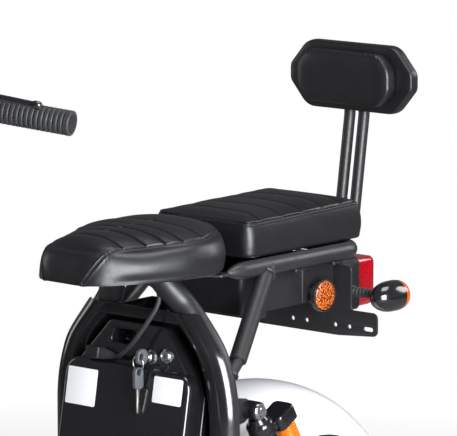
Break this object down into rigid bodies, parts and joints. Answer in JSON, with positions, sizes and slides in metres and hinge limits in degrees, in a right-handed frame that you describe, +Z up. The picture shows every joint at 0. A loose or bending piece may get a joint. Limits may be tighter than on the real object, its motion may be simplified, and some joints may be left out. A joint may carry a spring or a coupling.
{
  "type": "electric scooter",
  "caption": "Fat-tyre electric scooter with a tube hoop carrying the saddle, a drop-in battery case, a rear rack with pad and backrest, twin spring shocks and a rear light set.",
  "frame": {"origin": "on the ground, under the middle of the bounding box", "axes": "+Z up, -Y the way the scooter drives, +X its left side"},
  "size_m": [0.7102, 1.7599, 1.0137],
  "materials": {
    "black_coat": "satin",
    "gloss_black": "gloss",
    "black_plastic": "satin",
    "vinyl": "satin",
    "rubber": "matte",
    "tyre": "matte",
    "white_plastic": "gloss",
    "alloy": "satin",
    "black_alloy": "gloss",
    "steel": "satin",
    "orange_coat": "gloss",
    "amber_lens": "gloss",
    "red_lens": "gloss",
    "clear_lens": "gloss",
    "grey_plastic": "matte"
  },
  "bodies": {
    "frame": {"front_frame": "black_coat", "floor_frame": "black_coat", "seat_hoop": "black_coat", "rear_rack": "black_coat", "seat_plate": "black_coat", "saddle": "vinyl", "saddle_pan": "black_plastic", "rear_pad": "vinyl", "backrest_pad": "vinyl", "backrest_shell": "black_plastic", "backrest_posts": "black_coat", "tail_box": "black_plastic", "plate_bracket": "black_coat", "tail_light_housing": "black_plastic", "tail_light_lens": "red_lens", "rear_signal_left": "gloss_black", "rear_signal_right": "gloss_black", "rear_signal_lens_left": "amber_lens", "rear_signal_lens_right": "amber_lens", "side_reflector_left": "amber_lens", "side_reflector_right": "amber_lens", "deck_board": "black_coat", "deck_mat": "rubber", "battery_case": "gloss_black", "battery_pack": "gloss_black", "battery_plug": "black_plastic", "battery_lead": "rubber", "battery_lock": "steel", "ignition_lock": "steel", "lower_cover": "black_plastic"},
    "steering": {"fork_yoke": "black_coat", "handlebar": "black_coat", "grip_left": "rubber", "headlight": "gloss_black", "headlight_lens": "clear_lens", "display": "black_plastic"},
    "fork_lower": {"fork_sliders": "black_coat", "front_fender": "white_plastic"},
    "front_wheel": {"front_tyre": "tyre", "front_rim": "alloy"},
    "swing_arm": {"swingarm": "black_coat", "rear_fender": "white_plastic"},
    "rear_wheel": {"rear_tyre": "tyre", "rear_rim": "alloy"},
    "shock_upper_left": {"shock_body_left": "black_alloy", "shock_reservoir_left": "orange_coat", "shock_spring_left": "orange_coat"},
    "shock_upper_right": {"shock_body_right": "black_alloy", "shock_reservoir_right": "orange_coat", "shock_spring_right": "orange_coat"},
    "shock_lower_left": {"shock_rod_left": "black_alloy"},
    "shock_lower_right": {"shock_rod_right": "black_alloy"},
    "stand": {"side_stand": "black_coat"},
    "key": {"ignition_key": "grey_plastic"},
    "ring": {"key_ring": "steel", "spare_key": "grey_plastic"},
    "throttle": {"throttle_grip": "rubber"},
    "lever_left": {"brake_lever_left": "black_alloy"},
    "lever_right": {"brake_lever_right": "black_alloy"},
    "button": {"start_button": "red_lens"}
  },
  "joints": [
    {"name": "steer", "type": "hinge", "parent": "frame", "child": "steering", "pos_m": [0, -0.63327, 0.20565], "axis": [0, 0.454, 0.891], "range_deg": [-40, 40]},
    {"name": "fork_travel", "type": "slide", "parent": "steering", "child": "fork_lower", "axis": [0, 0.454, 0.891], "range_m": [0, 0.04], "stiffness_N_per_m": 9000, "springref_m": -0.05},
    {"name": "front_wheel_spin", "type": "hinge", "parent": "fork_lower", "child": "front_wheel", "pos_m": [0, -0.66, 0.21927], "axis": [1, 0, 0], "continuous": true},
    {"name": "swing", "type": "hinge", "parent": "frame", "child": "swing_arm", "pos_m": [0, 0.385, 0.165], "axis": [1, 0, 0], "range_deg": [0, 7], "stiffness_Nm_per_rad": 1000, "springref_deg": -9.17},
    {"name": "rear_wheel_spin", "type": "hinge", "parent": "swing_arm", "child": "rear_wheel", "pos_m": [0, 0.625, 0.21927], "axis": [1, 0, 0], "continuous": true},
    {"name": "shock_turn_left", "type": "hinge", "parent": "frame", "child": "shock_upper_left", "pos_m": [0.165, 0.446, 0.474], "axis": [1, 0, 0], "range_deg": [0, 1]},
    {"name": "shock_turn_right", "type": "hinge", "parent": "frame", "child": "shock_upper_right", "pos_m": [-0.165, 0.446, 0.474], "axis": [1, 0, 0], "range_deg": [0, 1]},
    {"name": "shock_slide_left", "type": "slide", "parent": "shock_upper_left", "child": "shock_lower_left", "axis": [0, -0.5053, 0.8629], "range_m": [0, 0.03], "deforming": ["shock_spring_left"]},
    {"name": "shock_slide_right", "type": "slide", "parent": "shock_upper_right", "child": "shock_lower_right", "axis": [0, -0.5053, 0.8629], "range_m": [0, 0.03], "deforming": ["shock_spring_right"]},
    {"name": "stand_fold", "type": "hinge", "parent": "frame", "child": "stand", "pos_m": [0.167, 0.06, 0.15], "axis": [-1, 0, 0], "range_deg": [0, 100]},
    {"name": "key_turn", "type": "hinge", "parent": "frame", "child": "key", "pos_m": [0.036, 0.36325, 0.54855], "axis": [0, -0.9848, 0.1736], "range_deg": [0, 30]},
    {"name": "ring_swing", "type": "hinge", "parent": "key", "child": "ring", "pos_m": [0.036, 0.33194, 0.55407], "axis": [0, -0.9848, 0.1736], "range_deg": [-20, 20]},
    {"name": "throttle_turn", "type": "hinge", "parent": "steering", "child": "throttle", "pos_m": [-0.23373, -0.17755, 0.97995], "axis": [-0.9302, 0.3467, -0.121], "range_deg": [0, 60], "stiffness_Nm_per_rad": 0.2, "springref_deg": -11.46},
    {"name": "squeeze_left", "type": "hinge", "parent": "steering", "child": "lever_left", "pos_m": [0.20001, -0.21908, 0.99844], "axis": [-0.0462, 0.4373, 0.8981], "range_deg": [0, 10], "stiffness_Nm_per_rad": 2, "springref_deg": -8.59},
    {"name": "squeeze_right", "type": "hinge", "parent": "steering", "child": "lever_right", "pos_m": [-0.20001, -0.21908, 0.99844], "axis": [-0.0462, -0.4373, -0.8981], "range_deg": [0, 10], "stiffness_Nm_per_rad": 2, "springref_deg": -8.59},
    {"name": "button_press", "type": "slide", "parent": "steering", "child": "button", "axis": [-0.3642, -0.8298, 0.4228], "range_m": [0, 0.002], "stiffness_N_per_m": 400, "springref_m": -0.002}
  ],
  "couplings": [
    {"joint": "shock_turn_left", "follows": "swing", "ratio": 0.04},
    {"joint": "shock_turn_right", "follows": "swing", "ratio": 0.04},
    {"joint": "shock_slide_left", "follows": "swing", "m_per_rad": 0.2095},
    {"joint": "shock_slide_right", "follows": "swing", "m_per_rad": 0.2095}
  ]
}
